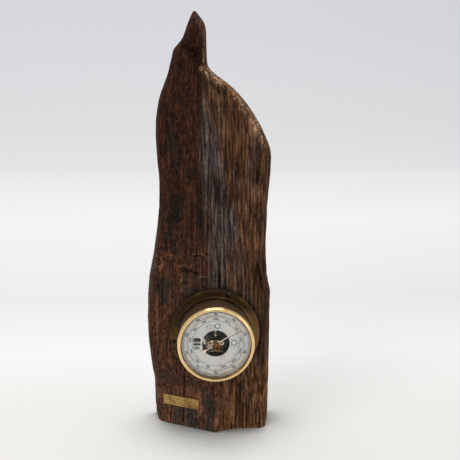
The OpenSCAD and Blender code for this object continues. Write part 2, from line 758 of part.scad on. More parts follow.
// A turned knob with a coned face on a stem that passes through the glass.
module knob() {
    back = glass_front + washer_t + 0.1;
    front = glass_front + knob_h;
    rim = 1.6;
    color("#a8662a") on_seat() {
        rotate_extrude() difference() {
            polygon([[0, back], [stem_r + 1.4, back], [stem_r + 1.4, back + 2], [stem_r + 0.6, back + 4.5],
                [knob_r - 1, back + 7], [knob_r, back + 7.6], [knob_r, front - 1], [knob_r - 0.9, front],
                [0, front]]);
            polygon([[0, front + 1], [knob_r - rim, front + 1], [knob_r - rim, front], [0, front - rim]]);
        }
        disc(stem_r, back + 1 - set_z, set_z);
    }
}

board();
plaque();
flange();
case_drum();
flange_screws();
bezel();
glass();
glass_ring();
dial_ring();
dial();
dial_feet();
movement_bushes();
movement_screws();
base_plate();
plate_pillars();
top_plate();
capsule();
mainspring();
post_pin();
lever();
rocking_shaft();
shaft_posts();
chain();
arbor();
hairspring();
hairspring_stud();
arbor_bridge();
bridge_screws();
pressure_hand();
set_hand();
knob();
knob_washer();
adjusting_screw();
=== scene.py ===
"""An aneroid barometer in a round brass case, screwed to a tall slab of weathered timber."""

import json
import math

import bpy
import numpy as np
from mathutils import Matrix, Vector, noise
from mathutils.bvhtree import BVHTree

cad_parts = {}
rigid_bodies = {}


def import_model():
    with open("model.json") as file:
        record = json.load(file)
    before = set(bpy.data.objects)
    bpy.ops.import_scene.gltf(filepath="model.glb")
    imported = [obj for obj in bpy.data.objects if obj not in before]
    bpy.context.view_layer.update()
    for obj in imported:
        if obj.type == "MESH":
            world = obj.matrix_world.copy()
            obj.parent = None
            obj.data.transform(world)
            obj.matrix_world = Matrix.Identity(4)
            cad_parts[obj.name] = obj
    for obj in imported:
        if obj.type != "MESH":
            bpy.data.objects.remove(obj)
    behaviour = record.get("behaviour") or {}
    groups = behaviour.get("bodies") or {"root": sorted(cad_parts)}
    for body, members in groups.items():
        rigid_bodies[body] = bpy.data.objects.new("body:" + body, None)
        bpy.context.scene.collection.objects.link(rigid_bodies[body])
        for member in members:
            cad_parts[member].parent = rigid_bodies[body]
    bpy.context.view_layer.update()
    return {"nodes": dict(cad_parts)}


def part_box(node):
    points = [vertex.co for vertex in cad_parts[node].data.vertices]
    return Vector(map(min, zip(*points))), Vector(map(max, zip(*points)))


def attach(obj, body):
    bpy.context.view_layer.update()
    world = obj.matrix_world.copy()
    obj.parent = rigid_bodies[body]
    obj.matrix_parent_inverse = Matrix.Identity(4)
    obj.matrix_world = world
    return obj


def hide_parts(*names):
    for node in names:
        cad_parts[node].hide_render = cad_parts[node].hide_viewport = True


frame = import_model()
bpy.ops.object.select_all(action="DESELECT")


# The studio: a table top of white paper that sweeps up behind the slab, soft lamps and a grey room.
# The camera, the metal and the glass see the paper brighter than it is lit, and a painted shadow darkens
# it close to the slab's foot. The metal and the glass mirror the room brighter than it lights the object.

def put(tree, kind, **settings):
    """Adds a node to a tree, and sets its properties, and its sockets by their names."""
    made = tree.nodes.new(kind)
    for name, value in settings.items():
        if name[0].isupper():
            made.inputs[name.replace("_", " ")].default_value = value
        else:
            setattr(made, name, value)
    return made


def ramp(tree, source, stops):
    """Turns a number into a grey or a colour, and returns the colour's socket."""
    made = tree.nodes.new("ShaderNodeValToRGB")
    while len(made.color_ramp.elements) < len(stops):
        made.color_ramp.elements.new(0.5)
    for element, (place, tone) in zip(made.color_ramp.elements, stops):
        element.position = place
        element.color = (*tone, 1) if isinstance(tone, tuple) else (tone, tone, tone, 1)
    tree.links.new(source, made.inputs["Fac"])
    return made.outputs["Color"]


def blend(tree, share, below, above, way="MIX"):
    """Mixes two colours, each a socket or a colour, and returns the result's socket."""
    made = put(tree, "ShaderNodeMix", data_type="RGBA", blend_type=way, clamp_factor=True)
    for place, value in ((0, share), (6, below), (7, above)):
        if isinstance(value, bpy.types.NodeSocket):
            tree.links.new(value, made.inputs[place])
        else:
            made.inputs[place].default_value = value if place == 0 else (*value, 1)
    return made.outputs[2]


def sums(tree, kind, first, second):
    """Adds or multiplies two numbers, and returns the result's socket."""
    made = put(tree, "ShaderNodeMath", operation=kind)
    for place, value in enumerate((first, second)):
        if isinstance(value, bpy.types.NodeSocket):
            tree.links.new(value, made.inputs[place])
        else:
            made.inputs[place].default_value = value
    return made.outputs[0]


def finish_named(name, **settings):
    """Makes a material, and returns it with its tree and its shader."""
    made = bpy.data.materials.new(name)
    made.use_nodes = True
    shader = made.node_tree.nodes["Principled BSDF"]
    for socket, value in settings.items():
        shader.inputs[socket.replace("_", " ")].default_value = value
    return made, made.node_tree, shader


TABLE_W, TABLE_D, TABLE_BACK, WALL_H = 9, 5.2, 1.9, 4
bpy.ops.mesh.primitive_plane_add(size=1, location=(0, 0, 0))
sweep = bpy.context.active_object
sweep.name = "paper_sweep"
bpy.ops.object.mode_set(mode="EDIT")
bpy.ops.mesh.select_all(action="SELECT")
bpy.ops.transform.resize(value=(TABLE_W, TABLE_D, 1))
bpy.ops.transform.translate(value=(0, TABLE_BACK - TABLE_D / 2, 0))
bpy.ops.mesh.select_all(action="DESELECT")
bpy.ops.object.mode_set(mode="OBJECT")
for edge in sweep.data.edges:
    edge.select = all(sweep.data.vertices[v].co.y > 0 for v in edge.vertices)
bpy.ops.object.mode_set(mode="EDIT")
bpy.context.tool_settings.mesh_select_mode = (False, True, False)
SWEEP_STEPS, SWEEP_R = 12, 0.8
for turn in range(SWEEP_STEPS):
    tilt = math.pi / 2 * (turn + 0.5) / SWEEP_STEPS
    step = SWEEP_R * math.pi / 2 / SWEEP_STEPS
    bpy.ops.mesh.extrude_region_move(
        TRANSFORM_OT_translate={"value": (0, step * math.cos(tilt), step * math.sin(tilt))})
bpy.ops.mesh.extrude_region_move(TRANSFORM_OT_translate={"value": (0, 0, WALL_H)})
bpy.ops.object.mode_set(mode="OBJECT")
bpy.ops.object.shade_smooth()

paper, tree, shader = finish_named("white_paper", Roughness=0.9)
shader.inputs["Specular IOR Level"].default_value = 0.0
place = put(tree, "ShaderNodeSeparateXYZ")
tree.links.new(put(tree, "ShaderNodeTexCoord").outputs["Object"], place.inputs[0])
reach = put(tree, "ShaderNodeMapRange", From_Min=-0.5, From_Max=3.5)
tree.links.new(sums(tree, "ADD", place.outputs["Y"], place.outputs["Z"]), reach.inputs["Value"])
glow = ramp(tree, reach.outputs[0], [(0.08, (0.405, 0.39, 0.365)), (0.14, (0.42, 0.41, 0.39)),
                                     (0.20, (0.50, 0.50, 0.495)), (0.28, (0.42, 0.42, 0.42)),
                                     (0.44, (0.56, 0.56, 0.55)), (0.56, (0.53, 0.53, 0.53)),
                                     (0.70, (0.43, 0.435, 0.45)), (0.85, (0.38, 0.39, 0.415))])
tree.links.new(glow, shader.inputs["Emission Color"])
# Painted shadow: occlusion by the slab darkens the paper's colour and its glow near the foot.
near = put(tree, "ShaderNodeAmbientOcclusion", samples=8, Distance=0.16, Normal=(0, 0.95, 0.30))
shade = ramp(tree, near.outputs["AO"],
             [(0.36, 0.06), (0.50, 0.38), (0.62, 0.72), (0.76, 0.94), (0.88, 1.0)])
tree.links.new(blend(tree, 0.6, (0.42, 0.42, 0.415), shade, "MULTIPLY"), shader.inputs["Base Color"])
seen = put(tree, "ShaderNodeLightPath")
watched = sums(tree, "ADD", seen.outputs["Is Camera Ray"], seen.outputs["Is Glossy Ray"])
watched = sums(tree, "ADD", watched, seen.outputs["Is Transmission Ray"])
watched = sums(tree, "MINIMUM", watched, 1.0)
tree.links.new(sums(tree, "MULTIPLY", watched, shade), shader.inputs["Emission Strength"])
sweep.data.materials.append(paper)

LAMP_AIM = Vector((0, 0, 0.25))
for name, spot, wide, deep, power, mirrored in (
        ("left_softbox", (-2.4, -2.7, 3.1), 2.6, 2.6, 116, False),
        ("right_softbox", (1.8, -1.4, 0.9), 0.6, 1.2, 6, True),
        ("top_softbox", (-0.05, 0.30, 2.3), 1.3, 1.1, 30, True)):
    bpy.ops.object.light_add(type="AREA", location=spot)
    lamp = bpy.context.active_object
    lamp.name = name
    lamp.data.shape = "RECTANGLE"
    lamp.data.size = wide
    lamp.data.size_y = deep
    lamp.data.energy = power
    lamp.visible_glossy = mirrored
    lamp.rotation_euler = (LAMP_AIM - Vector(spot)).to_track_quat("-Z", "Y").to_euler()

room = bpy.data.worlds.new("grey_room")
room.use_nodes = True
room.node_tree.nodes["Background"].inputs["Color"].default_value = (0.80, 0.81, 0.83, 1)
ROOM_LIGHT, MIRRORED_MORE = 0.32, 0.55
around = put(room.node_tree, "ShaderNodeLightPath").outputs["Is Glossy Ray"]
strength = sums(room.node_tree, "ADD", sums(room.node_tree, "MULTIPLY", around, MIRRORED_MORE), ROOM_LIGHT)
room.node_tree.links.new(strength, room.node_tree.nodes["Background"].inputs["Strength"])
bpy.context.scene.world = room
bpy.context.scene.view_settings.view_transform = "Standard"

LOOK_DOWN, LOOK_RIGHT = 14.1, 2.8
bpy.ops.object.camera_add(
    location=(-0.066, -1.8406, 0.7549),
    rotation=(math.radians(90 - LOOK_DOWN), 0, math.radians(-LOOK_RIGHT)))
camera = bpy.context.active_object
camera.data.sensor_width = 36
camera.data.lens = 104.17
bpy.context.scene.camera = camera
bpy.ops.object.select_all(action="DESELECT")


# The slab: a piece of old oak split along the grain, its front worn by weather, its back and foot sawn.
# The left face is smoother and dark red, the right one grey and brown and deeply grooved, and the edge
# of the shoulder is rubbed to a pale tan. A skin of fine squares is laid on the sawn form, worn inwards,
# and then cut for the case.

MM = 0.001
SEAT_Y, AXIS_Z = -40 * MM, 152 * MM
POCKET_R = 65.8 * MM
SLAB_TOP = 604
# How many points the skin has across the front, down each side and across the back, and the heights
# between which its rows lie, with the step from row to row.
FRONT, SIDE, BACK = 232, 40, 26
ROWS = [(0, 205, 3.2), (205, 275, 1.4), (275, 522, 3.4), (522, 562, 1.8), (562, SLAB_TOP, 2.4)]
heights = [low + (high - low) * k / round((high - low) / step)
           for low, high, step in ROWS for k in range(round((high - low) / step))]
heights = [h * MM for h in heights] + [SLAB_TOP * MM]

oak = frame["nodes"]["board"]
skin = BVHTree.FromPolygons([v.co for v in oak.data.vertices], [p.vertices for p in oak.data.polygons])
# Rays start this far from the middle of the slab, well outside it.
FAR = 0.3


def hit(start, way, axis):
    """Where a ray meets the sawn form, along one axis, or None."""
    spot = skin.ray_cast(Vector(start), Vector(way))[0]
    return None if spot is None else spot[axis]


def section(z):
    """The slab's outline at one height, from the left of the back, round by the front to the back."""
    level = min(max(z, 0.4 * MM), (SLAB_TOP - 0.4) * MM)
    rear = max(hit((x * MM, FAR, level), (0, -1, 0), 1) or -FAR for x in range(-98, 90))
    inside = rear - 1.5 * MM
    left = hit((-FAR, inside, level), (1, 0, 0), 0)
    right = hit((FAR, inside, level), (-1, 0, 0), 0)
    across = np.linspace(left + 0.2 * MM, right - 0.2 * MM, FRONT)
    fronts = [hit((x, -FAR, level), (0, 1, 0), 1) for x in across]
    open_wood = [k for k, x in enumerate(across) if math.hypot(x, z - AXIS_Z) > POCKET_R + 0.1 * MM]
    line = np.interp(across, across[open_wood], [fronts[k] for k in open_wood])
    for k in set(range(FRONT)) - set(open_wood):
        if fronts[k] is None or not SEAT_Y + 0.2 * MM < fronts[k] < SEAT_Y + 9 * MM:
            fronts[k] = min(line[k], SEAT_Y - 0.6 * MM)
    points = [(hit((-FAR, min(y, inside), level), (1, 0, 0), 0), y, z)
              for y in np.linspace(rear, fronts[0], SIDE, endpoint=False)]
    points += [(x, y, z) for x, y in zip(across, fronts)]
    points += [(hit((FAR, min(y, inside), level), (-1, 0, 0), 0), y, z)
               for y in np.linspace(fronts[-1], rear, SIDE + 1)[1:]]
    points += [(right + (left - right) * k / (BACK + 1), rear, z) for k in range(1, BACK + 1)]
    return points + points[:1]


laid = np.array([section(z) for z in heights])
bpy.ops.mesh.primitive_grid_add(x_subdivisions=laid.shape[1] - 1, y_subdivisions=laid.shape[0] - 1, size=1)
slab = bpy.context.active_object
slab.name = "weathered_slab"
slab.data.vertices.foreach_set("co", laid.astype(np.float32).ravel())
bpy.ops.object.mode_set(mode="EDIT")
bpy.context.tool_settings.mesh_select_mode = (True, False, False)
bpy.ops.mesh.select_all(action="SELECT")
bpy.ops.mesh.remove_doubles(threshold=0.00001)
for level in (heights[0], heights[-1]):
    bpy.ops.mesh.select_all(action="DESELECT")
    bpy.ops.object.mode_set(mode="OBJECT")
    for vertex in slab.data.vertices:
        vertex.select = abs(vertex.co.z - level) < 0.01 * MM
    bpy.ops.object.mode_set(mode="EDIT")
    bpy.ops.mesh.edge_face_add()
bpy.ops.mesh.select_all(action="SELECT")
bpy.ops.mesh.normals_make_consistent(inside=False)
bpy.ops.object.mode_set(mode="OBJECT")

# Where the ridge between the two faces and the edge of the shoulder lie, from height to height.
RIDGE = [(0, 1), (30, 8), (64, 14), (110, 10), (235, -9.6), (290, -12), (390, -20), (480, -18),
         (511, -14.5), (530, -13.3), (555, -13.3), (575, -15.5), (604, -24.5)]
SHOULDER = [(400, 84), (408, 83), (424, 76), (440, 69), (460, 57), (481, 42.5), (493, 32), (504, 18),
            (514, 4), (523, -5)]
# Curved shakes low on the left face: middle, radius, first and last angle, width and depth.
SHAKES = [(-24, 256, 9.5, 15, 120, 1.5, 2.2), (-62, 258, 6, 20, 150, 1.1, 1.3),
          (-42, 232, 16, 60, 120, 1.2, 1.4), (-79, 255, 4, 0, 360, 1.6, 1.4),
          (-17, 226, 7, 30, 150, 1.0, 1.2), (-41, 222, 7, 60, 170, 1.0, 1.0)]
# Holes, cracks and rubbed hollows: middle, reach across and along the grain, lean and depth.
DENTS = [(-38, 243, 9, 2.6, 0, 2.2), (-27, 240, 4, 2.2, 0, 2.0), (-79, 246, 2.6, 4, 0, 1.6),
         (-15, 238, 2, 3, 0, 1.4), (-41, 227, 3, 2, 0, 1.2), (6.5, 229, 1.3, 10, 0, 3.0),
         (64, 235, 1.5, 22, -0.2, 3.2), (62, 374, 1.9, 11, 0, 3.0), (-44, 45, 0.9, 52, 0.02, 2.6),
         (31, 46, 1.2, 30, 0, 1.6), (-22, 540, 3.2, 11, -0.45, 1.3), (26, 497, 3, 2, 0.8, 1.0),
         (40, 466, 2.5, 3, 0.8, 1.0)]


def smooth(value, low, high):
    """Climbs gently from 0 at the low value to 1 at the high one."""
    t = np.clip((value - low) / (high - low), 0, 1)
    return t * t * (3 - 2 * t)


def along(z, table):
    """Reads a table of heights and places at every height z."""
    return np.interp(z, [p[0] * MM for p in table], [p[1] * MM for p in table])


def grain(across, length, seed, points):
    """Smooth noise at every point, with so many waves a metre across the fibres and along them."""
    return np.array([noise.noise(Vector((px * across, pz * length, seed + py * across)))
                     for px, py, pz in points])


def weathering(obj):
    """Says of each point of a mesh where it lies, and how the weather has worn the wood there."""
    count = len(obj.data.vertices)
    spots = np.zeros(count * 3)
    obj.data.vertices.foreach_get("co", spots)
    facing = np.zeros(count * 3)
    obj.data.vertices.foreach_get("normal", facing)
    spots = spots.reshape(-1, 3)
    facing = facing.reshape(-1, 3)
    x, y, z = spots.T
    wear = {"spots": spots, "facing": facing, "x": x, "y": y, "z": z}
    wander = grain(8, 6, 1.5, spots) * 7 * MM + grain(40, 25, 4.5, spots) * 1.2 * MM
    bent = np.stack([x + wander, y, z], axis=1)
    wear["right"] = smooth(x - along(z, RIDGE) + 0.6 * wander, -3 * MM, 5 * MM)
    wear["front"] = smooth(-facing[:, 1], 0.15, 0.6)
    wear["rear"] = smooth(facing[:, 1], 0.5, 0.9)
    wear["coarse"] = (1 - np.abs(grain(170, 9, 11.5, bent * (1, 0.7, 1)))) ** 8
    wear["fine"] = (1 - np.abs(grain(300, 14, 23.5, bent * (1, 0.5, 1)))) ** 6
    wear["swell"] = grain(30, 12, 31.5, bent)
    wear["chips"] = grain(75, 60, 47.5, bent)
    wear["patchy"] = smooth(grain(22, 9, 77.5, bent), -0.25, 0.3)
    ragged = grain(160, 120, 8.5, spots)
    shakes = np.zeros(count)
    rims = np.zeros(count)
    for cx, cz, r, start, stop, width, deep in SHAKES:
        dx = x / MM - cx + 3.0 * ragged
        dz = z / MM - cz + 1.5 * wear["chips"]
        turn = np.degrees(np.arctan2(dz, dx)) % 360
        gap = np.hypot(dx, dz) - r
        reach = smooth(turn, start - 8, start + 8) * (1 - smooth(turn, stop - 8, stop + 8))
        shakes += deep * reach * np.exp(-(gap / width) ** 2)
        rims += reach * np.exp(-((gap - 1.9 * width) / width) ** 2)
    for cx, cz, across, length, lean, deep in DENTS:
        dz = z / MM - cz
        dx = x / MM - cx - lean * dz + 0.4 * wander / MM
        shakes += deep * np.exp(-(dx / across) ** 2 - (dz / length) ** 4)
    wear["shakes"] = shakes * wear["front"]
    wear["rims"] = rims * wear["front"]
    wear["wander"] = wander
    return wear


wear = weathering(slab)
depth = 0.3 + 0.25 * wear["chips"]
open_grain = 1 - smooth(wear["x"], 22 * MM, 40 * MM) * smooth(wear["z"], 0.24, 0.32)
grooves = 1.1 * wear["coarse"] * (0.3 + 0.7 * open_grain) * (0.5 + 0.5 * wear["patchy"])
depth += wear["right"] * wear["front"] * (0.5 + grooves + 0.6 * wear["fine"] + 0.4 * wear["swell"])
on_left = 0.3 + 0.3 * wear["coarse"] + 0.25 * wear["fine"] + 0.4 * wear["swell"]
depth += (1 - wear["right"]) * wear["front"] * on_left
on_edges = 0.9 + 0.9 * wear["coarse"] + 1.2 * wear["swell"] + 0.5 * wear["chips"]
depth += (1 - wear["front"]) * (1 - wear["rear"]) * on_edges
depth += wear["shakes"]
depth *= (1 - 0.9 * wear["rear"]) * MM
plaque_low, plaque_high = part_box("plaque")
off_plaque = (smooth(np.maximum(plaque_low[0] - wear["x"], wear["x"] - plaque_high[0]), 0, 2.5 * MM)
              + smooth(np.maximum(plaque_low[2] - wear["z"], wear["z"] - plaque_high[2]), 0, 2.5 * MM))
depth = np.where(wear["y"] < -5 * MM, depth * np.minimum(off_plaque, 1), depth)
depth = np.where(np.abs(wear["facing"][:, 2]) > 0.9, 0, depth)
worn = wear["spots"] - wear["facing"] * depth[:, None]
worn[:, 2] = np.where(wear["z"] < 0.2 * MM, 0, worn[:, 2])
# The sharp tip has crumbled: above this height it has lost this share of what stood there.
TIP_FROM, TIP_WEAR = 585 * MM, 0.13
worn[:, 2] -= TIP_WEAR * np.maximum(worn[:, 2] - TIP_FROM, 0)
low, high = (np.array(c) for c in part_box("board"))
slab.data.vertices.foreach_set("co", np.clip(worn, low, high).astype(np.float32).ravel())
slab.data.update()


def cut_out(piece):
    """Cuts the shape that was made last out of a piece, and clears that shape away."""
    cutter = bpy.context.active_object
    cut = piece.modifiers.new("cut", "BOOLEAN")
    cut.object = cutter
    bpy.ops.object.select_all(action="DESELECT")
    piece.select_set(True)
    bpy.context.view_layer.objects.active = piece
    bpy.ops.object.modifier_apply(modifier=cut.name)
    bpy.data.objects.remove(cutter)


# The planed seat for the flange, then the bore that lets a screwdriver in from behind.
ACCESS_X, ACCESS_R = -31 * MM, 6 * MM
for spot_x, r, sides, start, stop in ((0, POCKET_R, 160, SEAT_Y - 60 * MM, SEAT_Y),
                                      (ACCESS_X, ACCESS_R, 48, SEAT_Y - 9 * MM, 90 * MM)):
    bpy.ops.mesh.primitive_cylinder_add(vertices=sides, radius=r, depth=stop - start,
                                        location=(spot_x, (start + stop) / 2, AXIS_Z),
                                        rotation=(math.pi / 2, 0, 0))
    cut_out(slab)
bpy.ops.object.shade_smooth_by_angle(angle=math.radians(50))


def keep_on(obj, name, values):
    """Stores one number for each point of a mesh, for its material to read."""
    layer = obj.data.attributes.new(name, "FLOAT", "POINT")
    layer.data.foreach_set("value", np.asarray(values, np.float32))


def kept(tree, name):
    """Reads in a material what keep_on has stored."""
    return put(tree, "ShaderNodeAttribute", attribute_name=name).outputs["Fac"]


def grown(tree, scale, detail=4, rough=0.6, warp=0.0):
    """Noise on the object's own coordinates, stretched by a scale in waves a metre; returns its socket."""
    place = put(tree, "ShaderNodeTexCoord")
    space = put(tree, "ShaderNodeMapping", Scale=scale if isinstance(scale, tuple) else (scale,) * 3)
    texture = put(tree, "ShaderNodeTexNoise", Scale=1, Detail=detail, Roughness=rough, Distortion=warp)
    tree.links.new(place.outputs["Object"], space.inputs["Vector"])
    tree.links.new(space.outputs["Vector"], texture.inputs["Vector"])
    return texture.outputs["Fac"]


wear = weathering(slab)
off_edge = along(wear["z"], SHOULDER) - wear["x"]
shoulder = smooth(wear["z"], 0.398, 0.43) * smooth(0.531 - wear["z"], 0, 0.004)
shoulder *= 1 - smooth(off_edge, 7 * MM, 17 * MM)
beak = smooth(wear["z"], 0.522, 0.535) * (1 - smooth(wear["z"], 0.555, 0.59))
beak *= smooth(wear["x"], -15.5 * MM, -12 * MM)
grey_end = along(wear["z"], [(120, 70), (220, 48), (270, 44), (320, 26), (365, 18), (440, 4), (500, -6)])
silvered = smooth(wear["x"], -24 * MM, -14 * MM)
silvered *= 1 - smooth(wear["x"] + wear["wander"] - grey_end, -8 * MM, 10 * MM)
silvered *= smooth(wear["z"], 0.08, 0.16) * (1 - smooth(wear["z"], 0.49, 0.53))
silvered *= 0.45 + 0.55 * wear["patchy"]
# Painted shade in the hollows: the grooves, the fine grain and the shakes darken the wood's colour, and
# open wood is made a little lighter.
grooved = wear["right"] * wear["coarse"] * (0.3 + 0.5 * wear["patchy"]) + 0.2 * wear["fine"]
grooved = np.where(wear["front"] > 0.2, grooved, 0.2)
# Painted light over a paler tone of the wood low down: the lower slab is made much lighter, most on the
# left face, to lift the shade under the case and near the table; the very foot is lifted less.
left_low = (1 - smooth(wear["z"], 0.08, 0.34)) * (1 - 0.25 * smooth(wear["z"], 0.075, 0.10))
left_low *= 0.7 + 0.3 * smooth(wear["z"], 0.02, 0.045)
low_down = (1 - wear["right"]) * left_low + wear["right"] * (1 - smooth(wear["z"], 0.05, 0.18))
keep_on(slab, "right_face", wear["right"])
keep_on(slab, "silvered", silvered)
rubbed = (shoulder + 0.8 * beak) * (0.75 + 0.9 * wear["chips"]) + 0.25 * wear["rims"]
keep_on(slab, "rubbed", np.clip(rubbed, 0, 1))
keep_on(slab, "grooved", np.clip(grooved + 0.45 * wear["shakes"], 0, 1))
keep_on(slab, "low_down", low_down)
blotchy = smooth(wear["z"], 0.12, 0.24) * (1 - smooth(wear["z"], 0.40, 0.50))
keep_on(slab, "blotchy", blotchy + 1.6 * (1 - smooth(wear["z"], 0.025, 0.055)))
# Painted shadow: a ring round the case, darkest on its right, and a thin line round the plaque are darkened
# in the wood's colour.
near_case = 1 - smooth(np.hypot(wear["x"], wear["z"] - AXIS_Z), POCKET_R, POCKET_R + 6 * MM)
near_case = near_case * (0.35 + 0.65 * smooth(wear["x"], -40 * MM, 45 * MM))
beside_plaque = (np.maximum(np.maximum(plaque_low[0] - wear["x"], wear["x"] - plaque_high[0]), 0)
                 + np.maximum(np.maximum(plaque_low[2] - wear["z"], wear["z"] - plaque_high[2]), 0))
near_plaque = (1 - smooth(beside_plaque, 0.4 * MM, 2.6 * MM)) * wear["front"]
keep_on(slab, "painted_shade_round_case", np.maximum(near_case, near_plaque))
lined = np.clip(silvered + 1 - smooth(wear["z"], 0.20, 0.30), 0, 1)
keep_on(slab, "lined", wear["right"] * (0.2 + 0.8 * lined))
keep_on(slab, "sawn", wear["rear"])

timber, tree, shader = finish_named("weathered_oak", Roughness=0.75)
shader.inputs["Specular IOR Level"].default_value = 0.12
fibres = grown(tree, (340, 340, 11), 4, 0.55, 0.12)
dashes = grown(tree, (400, 400, 170), 3, 0.6)
bands = grown(tree, (60, 60, 6), 6, 0.7, 0.5)
clouds = grown(tree, (34, 34, 22), 8, 0.72, 0.8)
stains = grown(tree, (13, 13, 8), 5, 0.6, 0.6)
lines = grown(tree, (360, 360, 7), 2, 0.5, 0.2)
cracks = grown(tree, (150, 150, 4), 3, 0.6, 0.3)
streaks = sums(tree, "ADD", sums(tree, "MULTIPLY", fibres, 0.5), sums(tree, "MULTIPLY", dashes, 0.5))
red_face = ramp(tree, streaks, [(0.38, (0.011, 0.0044, 0.0029)), (0.46, (0.023, 0.0090, 0.0052)),
                                (0.53, (0.040, 0.0150, 0.0080)), (0.62, (0.085, 0.0315, 0.0140))])
black_face = ramp(tree, streaks, [(0.38, (0.0065, 0.0050, 0.0038)), (0.50, (0.0150, 0.0105, 0.0075)),
                                  (0.62, (0.038, 0.024, 0.016))])
grained = sums(tree, "ADD", sums(tree, "MULTIPLY", fibres, 0.75), sums(tree, "MULTIPLY", dashes, 0.25))
grey_face = ramp(tree, grained, [(0.38, (0.019, 0.0130, 0.0114)), (0.46, (0.048, 0.0330, 0.0285)),
                                 (0.53, (0.088, 0.064, 0.056)), (0.62, (0.190, 0.143, 0.122))])
brown_face = ramp(tree, grained, [(0.38, (0.028, 0.0115, 0.0058)), (0.46, (0.068, 0.030, 0.0140)),
                                  (0.53, (0.120, 0.054, 0.025)), (0.62, (0.240, 0.110, 0.052))])
blotted = sums(tree, "ADD", sums(tree, "MULTIPLY", clouds, 0.55), sums(tree, "MULTIPLY", stains, 0.45))
blotted = sums(tree, "SUBTRACT", blotted, sums(tree, "MULTIPLY", kept(tree, "blotchy"), 0.065))
left_wood = blend(tree, ramp(tree, blotted, [(0.385, 1.0), (0.465, 0.0)]), red_face, black_face)
rusty = ramp(tree, grown(tree, (75, 75, 42), 7, 0.75, 0.3), [(0.52, 0.0), (0.66, 0.75)])
rusty = sums(tree, "MULTIPLY", rusty, kept(tree, "blotchy"))
rust = ramp(tree, streaks, [(0.40, (0.028, 0.010, 0.005)), (0.60, (0.135, 0.052, 0.021))])
left_wood = blend(tree, rusty, left_wood, rust)
banded = sums(tree, "MULTIPLY", kept(tree, "silvered"), 1.1)
banded = sums(tree, "ADD", banded, ramp(tree, bands, [(0.48, 0.0), (0.60, 0.50)]))
banded = sums(tree, "SUBTRACT", banded, ramp(tree, clouds, [(0.50, 0.0), (0.62, 0.5)]))
right_wood = blend(tree, banded, brown_face, grey_face)
wood = blend(tree, kept(tree, "right_face"), left_wood, right_wood)
# Painted light and paler wood: the colour is raised low on the slab, where the case and the table shade it.
paler_and_lit = blend(tree, kept(tree, "right_face"), (4.0, 4.4, 4.7), (2.1, 2.1, 1.95))
wood = blend(tree, kept(tree, "low_down"), wood, paler_and_lit, "MULTIPLY")
wood = blend(tree, 1.0, wood, ramp(tree, stains, [(0.40, 0.72), (0.60, 1.0)]), "MULTIPLY")
# Painted shadow round the case and the plaque.
wood = blend(tree, kept(tree, "painted_shade_round_case"), wood, (0.35, 0.35, 0.37), "MULTIPLY")
specks = grown(tree, (330, 330, 300), 3, 0.65)
speckled = sums(tree, "ADD", sums(tree, "MULTIPLY", streaks, 0.3), sums(tree, "MULTIPLY", specks, 0.7))
tan = ramp(tree, speckled, [(0.40, (0.060, 0.028, 0.014)), (0.49, (0.25, 0.128, 0.064)),
                            (0.56, (0.46, 0.27, 0.155)), (0.64, (0.85, 0.64, 0.45))])
saw_marks = grown(tree, (5, 5, 210), 3, 0.5, 0.2)
saw_marks = sums(tree, "MULTIPLY", saw_marks, 0.25)
saw_marks = sums(tree, "ADD", sums(tree, "MULTIPLY", bands, 0.75), saw_marks)
sawn_wood = ramp(tree, saw_marks, [(0.36, (0.040, 0.024, 0.016)), (0.50, (0.085, 0.052, 0.034)),
                                   (0.64, (0.16, 0.100, 0.065))])
wood = blend(tree, kept(tree, "sawn"), wood, sawn_wood)
wood = blend(tree, kept(tree, "rubbed"), wood, tan)
split = ramp(tree, lines, [(0.34, 0.30), (0.45, 1.0)])
deeper = sums(tree, "ADD", sums(tree, "MULTIPLY", kept(tree, "lined"), 0.55), 0.3)
wood = blend(tree, deeper, wood, split, "MULTIPLY")
parted = ramp(tree, cracks, [(0.30, 0.25), (0.37, 1.0)])
wood = blend(tree, deeper, wood, parted, "MULTIPLY")
# Painted shade: darker in the colour where the wood is grooved.
hollows = ramp(tree, kept(tree, "grooved"), [(0.0, 1.15), (0.5, 0.8), (1.0, 0.22)])
wood = blend(tree, 1.0, wood, hollows, "MULTIPLY")
tree.links.new(wood, shader.inputs["Base Color"])
tree.links.new(ramp(tree, streaks, [(0.4, 0.9), (0.6, 0.62)]), shader.inputs["Roughness"])
relief = put(tree, "ShaderNodeBump", Strength=0.9, Distance=0.0005)
tree.links.new(sums(tree, "ADD", streaks, sums(tree, "MULTIPLY", split, 0.15)), relief.inputs["Height"])
tree.links.new(relief.outputs["Normal"], shader.inputs["Normal"])
slab.data.materials.append(timber)
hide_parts("board")
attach(slab, "stand")
bpy.ops.object.select_all(action="DESELECT")


# The plaque: a strip of thin sheet brass, dull and brown in places, with two nicks in its lower edge.
# Its face is left bare but for three ruled lines and a border that are scribed into it.

def from_axis(tree):
    """How far a point lies from the line through the middle of the dial, in metres."""
    shift = put(tree, "ShaderNodeVectorMath", operation="MULTIPLY_ADD")
    tree.links.new(put(tree, "ShaderNodeTexCoord").outputs["Object"], shift.inputs[0])
    shift.inputs[1].default_value = (1, 0, 1)
    shift.inputs[2].default_value = (0, 0, -AXIS_Z)
    radius = put(tree, "ShaderNodeVectorMath", operation="LENGTH")
    tree.links.new(shift.outputs[0], radius.inputs[0])
    return radius.outputs["Value"]


